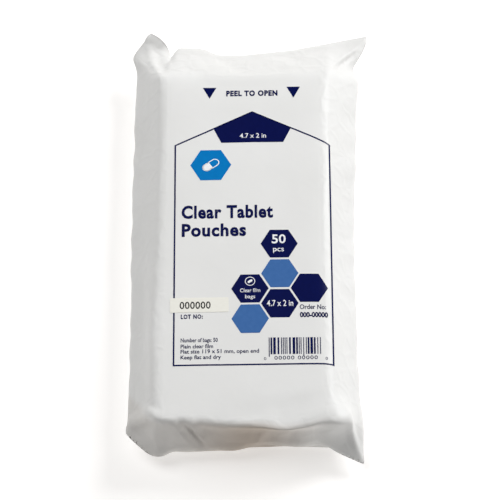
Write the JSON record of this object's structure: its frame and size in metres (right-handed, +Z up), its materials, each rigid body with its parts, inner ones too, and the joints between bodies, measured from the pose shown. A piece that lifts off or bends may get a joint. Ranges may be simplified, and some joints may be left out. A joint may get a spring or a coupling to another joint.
{
  "type": "pouch pack for crushing tablets",
  "caption": "Sealed white film pillow pack that peels open at one end and holds a flat stack of small clear pouches for crushing tablets in.",
  "frame": {"origin": "middle of the footprint, on the surface that the pack lies on", "axes": "+Z up through the printed face, +Y along the pack to the end that peels open, +X to the right as the print is read"},
  "size_m": [0.079, 0.154, 0.0195],
  "materials": {
    "wrapper_film": "satin white polyethylene film with blue print",
    "pouch_film": "clear polyethylene film",
    "sticker": "matt cream label paper with black print"
  },
  "bodies": {
    "pack": {"film_sleeve": "wrapper_film", "lot_sticker": "sticker"},
    "flap": {"peel_flap": "wrapper_film"},
    "pouch_01": {"pouch_01": "pouch_film"},
    "pouch_02": {"pouch_02": "pouch_film"},
    "pouch_03": {"pouch_03": "pouch_film"},
    "pouch_04": {"pouch_04": "pouch_film"},
    "pouch_05": {"pouch_05": "pouch_film"},
    "pouch_06": {"pouch_06": "pouch_film"},
    "pouch_07": {"pouch_07": "pouch_film"},
    "pouch_08": {"pouch_08": "pouch_film"},
    "pouch_09": {"pouch_09": "pouch_film"},
    "pouch_10": {"pouch_10": "pouch_film"},
    "pouch_11": {"pouch_11": "pouch_film"},
    "pouch_12": {"pouch_12": "pouch_film"},
    "pouch_13": {"pouch_13": "pouch_film"},
    "pouch_14": {"pouch_14": "pouch_film"},
    "pouch_15": {"pouch_15": "pouch_film"},
    "pouch_16": {"pouch_16": "pouch_film"},
    "pouch_17": {"pouch_17": "pouch_film"},
    "pouch_18": {"pouch_18": "pouch_film"},
    "pouch_19": {"pouch_19": "pouch_film"},
    "pouch_20": {"pouch_20": "pouch_film"},
    "pouch_21": {"pouch_21": "pouch_film"},
    "pouch_22": {"pouch_22": "pouch_film"},
    "pouch_23": {"pouch_23": "pouch_film"},
    "pouch_24": {"pouch_24": "pouch_film"},
    "pouch_25": {"pouch_25": "pouch_film"},
    "pouch_26": {"pouch_26": "pouch_film"},
    "pouch_27": {"pouch_27": "pouch_film"},
    "pouch_28": {"pouch_28": "pouch_film"},
    "pouch_29": {"pouch_29": "pouch_film"},
    "pouch_30": {"pouch_30": "pouch_film"},
    "pouch_31": {"pouch_31": "pouch_film"},
    "pouch_32": {"pouch_32": "pouch_film"},
    "pouch_33": {"pouch_33": "pouch_film"},
    "pouch_34": {"pouch_34": "pouch_film"},
    "pouch_35": {"pouch_35": "pouch_film"},
    "pouch_36": {"pouch_36": "pouch_film"},
    "pouch_37": {"pouch_37": "pouch_film"},
    "pouch_38": {"pouch_38": "pouch_film"},
    "pouch_39": {"pouch_39": "pouch_film"},
    "pouch_40": {"pouch_40": "pouch_film"},
    "pouch_41": {"pouch_41": "pouch_film"},
    "pouch_42": {"pouch_42": "pouch_film"},
    "pouch_43": {"pouch_43": "pouch_film"},
    "pouch_44": {"pouch_44": "pouch_film"},
    "pouch_45": {"pouch_45": "pouch_film"},
    "pouch_46": {"pouch_46": "pouch_film"},
    "pouch_47": {"pouch_47": "pouch_film"},
    "pouch_48": {"pouch_48": "pouch_film"},
    "pouch_49": {"pouch_49": "pouch_film"},
    "pouch_50": {"pouch_50": "pouch_film"}
  },
  "joints": [
    {"name": "flap_hinge", "type": "hinge", "parent": "pack", "child": "flap", "pos_m": [0, 0.04557, 0.01899], "axis": [1, 0, 0], "range_deg": [0, 150]},
    {"name": "pouch_01_slide", "type": "slide", "parent": "pack", "child": "pouch_01", "axis": [0, 1, 0], "range_m": [0, 0.0029]},
    {"name": "pouch_02_slide", "type": "slide", "parent": "pack", "child": "pouch_02", "axis": [0, 1, 0], "range_m": [0, 0.0029]},
    {"name": "pouch_03_slide", "type": "slide", "parent": "pack", "child": "pouch_03", "axis": [0, 1, 0], "range_m": [0, 0.0029]},
    {"name": "pouch_04_slide", "type": "slide", "parent": "pack", "child": "pouch_04", "axis": [0, 1, 0], "range_m": [0, 0.003]},
    {"name": "pouch_05_slide", "type": "slide", "parent": "pack", "child": "pouch_05", "axis": [0, 1, 0], "range_m": [0, 0.003]},
    {"name": "pouch_06_slide", "type": "slide", "parent": "pack", "child": "pouch_06", "axis": [0, 1, 0], "range_m": [0, 0.0031]},
    {"name": "pouch_07_slide", "type": "slide", "parent": "pack", "child": "pouch_07", "axis": [0, 1, 0], "range_m": [0, 0.0032]},
    {"name": "pouch_08_slide", "type": "slide", "parent": "pack", "child": "pouch_08", "axis": [0, 1, 0], "range_m": [0, 0.0034]},
    {"name": "pouch_09_slide", "type": "slide", "parent": "pack", "child": "pouch_09", "axis": [0, 1, 0], "range_m": [0, 0.0036]},
    {"name": "pouch_10_slide", "type": "slide", "parent": "pack", "child": "pouch_10", "axis": [0, 1, 0], "range_m": [0, 0.0038]},
    {"name": "pouch_11_slide", "type": "slide", "parent": "pack", "child": "pouch_11", "axis": [0, 1, 0], "range_m": [0, 0.0042]},
    {"name": "pouch_12_slide", "type": "slide", "parent": "pack", "child": "pouch_12", "axis": [0, 1, 0], "range_m": [0, 0.0045]},
    {"name": "pouch_13_slide", "type": "slide", "parent": "pack", "child": "pouch_13", "axis": [0, 1, 0], "range_m": [0, 0.005]},
    {"name": "pouch_14_slide", "type": "slide", "parent": "pack", "child": "pouch_14", "axis": [0, 1, 0], "range_m": [0, 0.0055]},
    {"name": "pouch_15_slide", "type": "slide", "parent": "pack", "child": "pouch_15", "axis": [0, 1, 0], "range_m": [0, 0.0061]},
    {"name": "pouch_16_slide", "type": "slide", "parent": "pack", "child": "pouch_16", "axis": [0, 1, 0], "range_m": [0, 0.0068]},
    {"name": "pouch_17_slide", "type": "slide", "parent": "pack", "child": "pouch_17", "axis": [0, 1, 0], "range_m": [0, 0.0075]},
    {"name": "pouch_18_slide", "type": "slide", "parent": "pack", "child": "pouch_18", "axis": [0, 1, 0], "range_m": [0, 0.0084]},
    {"name": "pouch_19_slide", "type": "slide", "parent": "pack", "child": "pouch_19", "axis": [0, 1, 0], "range_m": [0, 0.0094]},
    {"name": "pouch_20_slide", "type": "slide", "parent": "pack", "child": "pouch_20", "axis": [0, 1, 0], "range_m": [0, 0.0104]},
    {"name": "pouch_21_slide", "type": "slide", "parent": "pack", "child": "pouch_21", "axis": [0, 1, 0], "range_m": [0, 0.0116]},
    {"name": "pouch_22_slide", "type": "slide", "parent": "pack", "child": "pouch_22", "axis": [0, 1, 0], "range_m": [0, 0.0129]},
    {"name": "pouch_23_slide", "type": "slide", "parent": "pack", "child": "pouch_23", "axis": [0, 1, 0], "range_m": [0, 0.0143]},
    {"name": "pouch_24_slide", "type": "slide", "parent": "pack", "child": "pouch_24", "axis": [0, 1, 0], "range_m": [0, 0.12]},
    {"name": "pouch_25_slide", "type": "slide", "parent": "pack", "child": "pouch_25", "axis": [0, 1, 0], "range_m": [0, 0.12]},
    {"name": "pouch_26_slide", "type": "slide", "parent": "pack", "child": "pouch_26", "axis": [0, 1, 0], "range_m": [0, 0.12]},
    {"name": "pouch_27_slide", "type": "slide", "parent": "pack", "child": "pouch_27", "axis": [0, 1, 0], "range_m": [0, 0.12]},
    {"name": "pouch_28_slide", "type": "slide", "parent": "pack", "child": "pouch_28", "axis": [0, 1, 0], "range_m": [0, 0.12]},
    {"name": "pouch_29_slide", "type": "slide", "parent": "pack", "child": "pouch_29", "axis": [0, 1, 0], "range_m": [0, 0.12]},
    {"name": "pouch_30_slide", "type": "slide", "parent": "pack", "child": "pouch_30", "axis": [0, 1, 0], "range_m": [0, 0.12]},
    {"name": "pouch_31_slide", "type": "slide", "parent": "pack", "child": "pouch_31", "axis": [0, 1, 0], "range_m": [0, 0.12]},
    {"name": "pouch_32_slide", "type": "slide", "parent": "pack", "child": "pouch_32", "axis": [0, 1, 0], "range_m": [0, 0.12]},
    {"name": "pouch_33_slide", "type": "slide", "parent": "pack", "child": "pouch_33", "axis": [0, 1, 0], "range_m": [0, 0.12]},
    {"name": "pouch_34_slide", "type": "slide", "parent": "pack", "child": "pouch_34", "axis": [0, 1, 0], "range_m": [0, 0.12]},
    {"name": "pouch_35_slide", "type": "slide", "parent": "pack", "child": "pouch_35", "axis": [0, 1, 0], "range_m": [0, 0.12]},
    {"name": "pouch_36_slide", "type": "slide", "parent": "pack", "child": "pouch_36", "axis": [0, 1, 0], "range_m": [0, 0.12]},
    {"name": "pouch_37_slide", "type": "slide", "parent": "pack", "child": "pouch_37", "axis": [0, 1, 0], "range_m": [0, 0.12]},
    {"name": "pouch_38_slide", "type": "slide", "parent": "pack", "child": "pouch_38", "axis": [0, 1, 0], "range_m": [0, 0.12]},
    {"name": "pouch_39_slide", "type": "slide", "parent": "pack", "child": "pouch_39", "axis": [0, 1, 0], "range_m": [0, 0.12]},
    {"name": "pouch_40_slide", "type": "slide", "parent": "pack", "child": "pouch_40", "axis": [0, 1, 0], "range_m": [0, 0.12]},
    {"name": "pouch_41_slide", "type": "slide", "parent": "pack", "child": "pouch_41", "axis": [0, 1, 0], "range_m": [0, 0.12]},
    {"name": "pouch_42_slide", "type": "slide", "parent": "pack", "child": "pouch_42", "axis": [0, 1, 0], "range_m": [0, 0.12]},
    {"name": "pouch_43_slide", "type": "slide", "parent": "pack", "child": "pouch_43", "axis": [0, 1, 0], "range_m": [0, 0.12]},
    {"name": "pouch_44_slide", "type": "slide", "parent": "pack", "child": "pouch_44", "axis": [0, 1, 0], "range_m": [0, 0.12]},
    {"name": "pouch_45_slide", "type": "slide", "parent": "pack", "child": "pouch_45", "axis": [0, 1, 0], "range_m": [0, 0.12]},
    {"name": "pouch_46_slide", "type": "slide", "parent": "pack", "child": "pouch_46", "axis": [0, 1, 0], "range_m": [0, 0.12]},
    {"name": "pouch_47_slide", "type": "slide", "parent": "pack", "child": "pouch_47", "axis": [0, 1, 0], "range_m": [0, 0.12]},
    {"name": "pouch_48_slide", "type": "slide", "parent": "pack", "child": "pouch_48", "axis": [0, 1, 0], "range_m": [0, 0.12]},
    {"name": "pouch_49_slide", "type": "slide", "parent": "pack", "child": "pouch_49", "axis": [0, 1, 0], "range_m": [0, 0.12]},
    {"name": "pouch_50_slide", "type": "slide", "parent": "pack", "child": "pouch_50", "axis": [0, 1, 0], "range_m": [0, 0.12]}
  ],
  "couplings": [
    {"joint": "pouch_01_slide", "follows": "flap_hinge", "m_per_rad": 0.000916},
    {"joint": "pouch_02_slide", "follows": "flap_hinge", "m_per_rad": 0.00092},
    {"joint": "pouch_03_slide", "follows": "flap_hinge", "m_per_rad": 0.000928},
    {"joint": "pouch_04_slide", "follows": "flap_hinge", "m_per_rad": 0.000939},
    {"joint": "pouch_05_slide", "follows": "flap_hinge", "m_per_rad": 0.000962},
    {"joint": "pouch_06_slide", "follows": "flap_hinge", "m_per_rad": 0.000993},
    {"joint": "pouch_07_slide", "follows": "flap_hinge", "m_per_rad": 0.001038},
    {"joint": "pouch_08_slide", "follows": "flap_hinge", "m_per_rad": 0.0011},
    {"joint": "pouch_09_slide", "follows": "flap_hinge", "m_per_rad": 0.00118},
    {"joint": "pouch_10_slide", "follows": "flap_hinge", "m_per_rad": 0.001275},
    {"joint": "pouch_11_slide", "follows": "flap_hinge", "m_per_rad": 0.001394},
    {"joint": "pouch_12_slide", "follows": "flap_hinge", "m_per_rad": 0.001539},
    {"joint": "pouch_13_slide", "follows": "flap_hinge", "m_per_rad": 0.001707},
    {"joint": "pouch_14_slide", "follows": "flap_hinge", "m_per_rad": 0.001902},
    {"joint": "pouch_15_slide", "follows": "flap_hinge", "m_per_rad": 0.002131},
    {"joint": "pouch_16_slide", "follows": "flap_hinge", "m_per_rad": 0.002387},
    {"joint": "pouch_17_slide", "follows": "flap_hinge", "m_per_rad": 0.002681},
    {"joint": "pouch_18_slide", "follows": "flap_hinge", "m_per_rad": 0.003013},
    {"joint": "pouch_19_slide", "follows": "flap_hinge", "m_per_rad": 0.00338},
    {"joint": "pouch_20_slide", "follows": "flap_hinge", "m_per_rad": 0.003792},
    {"joint": "pouch_21_slide", "follows": "flap_hinge", "m_per_rad": 0.004243},
    {"joint": "pouch_22_slide", "follows": "flap_hinge", "m_per_rad": 0.004744},
    {"joint": "pouch_23_slide", "follows": "flap_hinge", "m_per_rad": 0.00529},
    {"joint": "pouch_24_slide", "follows": "flap_hinge", "m_per_rad": 0.005886},
    {"joint": "pouch_25_slide", "follows": "flap_hinge", "m_per_rad": 0.006531},
    {"joint": "pouch_26_slide", "follows": "flap_hinge", "m_per_rad": 0.007234},
    {"joint": "pouch_27_slide", "follows": "flap_hinge", "m_per_rad": 0.00799},
    {"joint": "pouch_28_slide", "follows": "flap_hinge", "m_per_rad": 0.008804},
    {"joint": "pouch_29_slide", "follows": "flap_hinge", "m_per_rad": 0.009682},
    {"joint": "pouch_30_slide", "follows": "flap_hinge", "m_per_rad": 0.010618},
    {"joint": "pouch_31_slide", "follows": "flap_hinge", "m_per_rad": 0.011623},
    {"joint": "pouch_32_slide", "follows": "flap_hinge", "m_per_rad": 0.012692},
    {"joint": "pouch_33_slide", "follows": "flap_hinge", "m_per_rad": 0.013831},
    {"joint": "pouch_34_slide", "follows": "flap_hinge", "m_per_rad": 0.015042},
    {"joint": "pouch_35_slide", "follows": "flap_hinge", "m_per_rad": 0.016325},
    {"joint": "pouch_36_slide", "follows": "flap_hinge", "m_per_rad": 0.017681},
    {"joint": "pouch_37_slide", "follows": "flap_hinge", "m_per_rad": 0.019117},
    {"joint": "pouch_38_slide", "follows": "flap_hinge", "m_per_rad": 0.020634},
    {"joint": "pouch_39_slide", "follows": "flap_hinge", "m_per_rad": 0.022234},
    {"joint": "pouch_40_slide", "follows": "flap_hinge", "m_per_rad": 0.023915},
    {"joint": "pouch_41_slide", "follows": "flap_hinge", "m_per_rad": 0.025683},
    {"joint": "pouch_42_slide", "follows": "flap_hinge", "m_per_rad": 0.02754},
    {"joint": "pouch_43_slide", "follows": "flap_hinge", "m_per_rad": 0.029488},
    {"joint": "pouch_44_slide", "follows": "flap_hinge", "m_per_rad": 0.031527},
    {"joint": "pouch_45_slide", "follows": "flap_hinge", "m_per_rad": 0.033663},
    {"joint": "pouch_46_slide", "follows": "flap_hinge", "m_per_rad": 0.035893},
    {"joint": "pouch_47_slide", "follows": "flap_hinge", "m_per_rad": 0.038227},
    {"joint": "pouch_48_slide", "follows": "flap_hinge", "m_per_rad": 0.040657},
    {"joint": "pouch_49_slide", "follows": "flap_hinge", "m_per_rad": 0.043193},
    {"joint": "pouch_50_slide", "follows": "flap_hinge", "m_per_rad": 0.045836}
  ]
}
